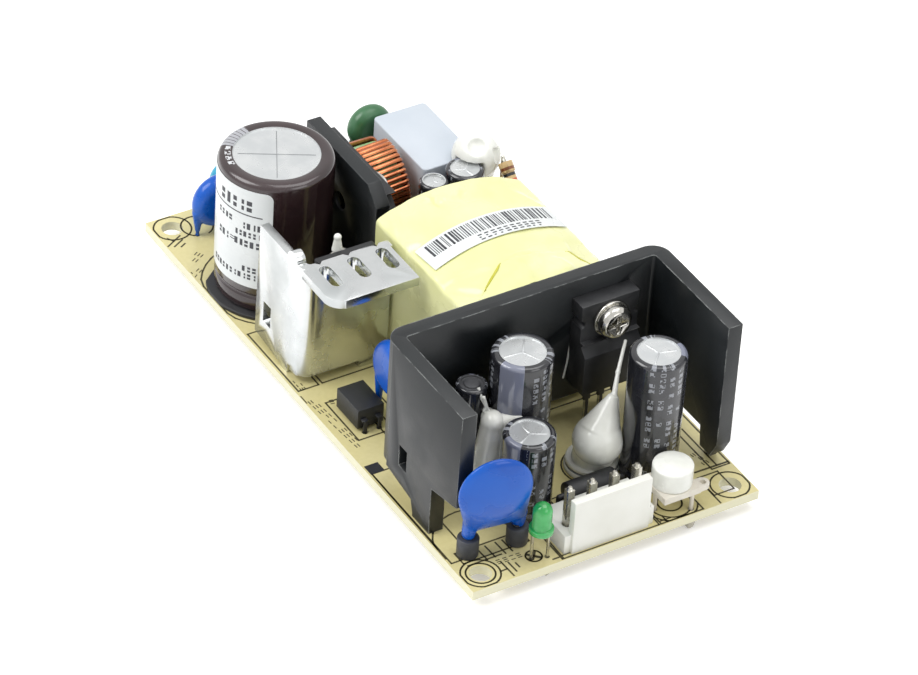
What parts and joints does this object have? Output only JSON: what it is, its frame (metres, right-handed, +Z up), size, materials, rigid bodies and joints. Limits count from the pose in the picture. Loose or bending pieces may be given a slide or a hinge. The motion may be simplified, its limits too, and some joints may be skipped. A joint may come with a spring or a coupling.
{
  "type": "open frame power supply",
  "caption": "Open frame switching power supply on a bare rectangular circuit board, with heatsinks, taped transformer, capacitors, headers and silicone fixing.",
  "frame": {"origin": "centre of the bounding box in X and Y, at the level of the trimmed lead tips under the board", "axes": "+X along the board from the mains end to the output end, +Z up from the board's component side"},
  "size_m": [0.1016, 0.0508, 0.031],
  "materials": {
    "laminate": "satin pale yellow glass and paper laminate with dark print",
    "solder": "bright tin solder and tinned wire",
    "black_moulding": "matt black moulding compound",
    "black_anodised": "matt black anodised aluminium",
    "bare_aluminium": "mill finish sheet",
    "white_nylon": "satin white nylon",
    "blue_epoxy": "glossy dipped blue epoxy",
    "teal_epoxy": "glossy dipped teal epoxy",
    "dark_green_epoxy": "dipped dark green coating",
    "core_green": "light green coated ring core",
    "copper_wire": "enamelled copper wire",
    "grey_blue_case": "satin pale grey blue case",
    "brown_sleeve": "dark brown shrink sleeve, bare aluminium top",
    "black_sleeve": "black shrink sleeve with grey print, bare aluminium top",
    "black_insulation": "black insulating sheet and sleeving",
    "white_label": "white coated label with dark print",
    "steel_fixings": "nickel plated steel",
    "silicone": "white translucent silicone sealant",
    "resistor_body": "banded lacquer",
    "ferrite": "dark grey ferrite",
    "yellow_tape": "pale yellow polyester tape",
    "green_lens": "green diffused lens",
    "ceramic_plate": "off-white ceramic plate"
  },
  "bodies": {
    "root": {"circuit_board": "laminate", "solder_joints": "solder", "controller_chip": "black_moulding", "chip_resistors": "black_moulding", "input_header": "white_nylon", "input_pins": "solder", "fuse": "black_moulding", "varistor": "dark_green_epoxy", "input_disc_capacitor": "blue_epoxy", "line_disc_capacitor": "teal_epoxy", "bridging_disc_capacitor": "blue_epoxy", "choke_core": "core_green", "choke_winding_left": "copper_wire", "choke_winding_right": "copper_wire", "box_capacitor": "grey_blue_case", "bridge_rectifier": "black_moulding", "bridge_heatsink": "black_anodised", "bridge_screw": "steel_fixings", "bulk_capacitor": "brown_sleeve", "bulk_insulator": "black_insulation", "rating_label": "white_label", "primary_bracket": "bare_aluminium", "switching_transistor": "black_moulding", "transistor_screw": "steel_fixings", "transistor_silicone": "silicone", "supply_capacitor_small": "black_sleeve", "supply_capacitor_large": "black_sleeve", "film_resistor": "resistor_body", "filter_silicone": "silicone", "transformer_core_left": "ferrite", "transformer_core_right": "ferrite", "transformer_bobbin": "black_moulding", "transformer_winding": "copper_wire", "transformer_tape": "yellow_tape", "barcode_label": "white_label", "optocoupler": "black_moulding", "output_heatsink": "black_anodised", "output_rectifier": "black_moulding", "rectifier_screw": "steel_fixings", "rectifier_washer": "steel_fixings", "output_capacitor_left": "black_sleeve", "output_capacitor_right": "black_sleeve", "output_capacitor_short": "black_sleeve", "rod_choke": "black_sleeve", "clamp_diode": "black_moulding", "silicone_cone": "silicone", "silicone_strip": "silicone", "output_header": "white_nylon", "output_pins": "solder", "indicator_lamp": "green_lens", "output_disc_capacitor": "blue_epoxy", "disc_capacitor_sleeves": "black_insulation", "trimmer": "ceramic_plate", "trimmer_silicone": "silicone"}
  },
  "joints": []
}
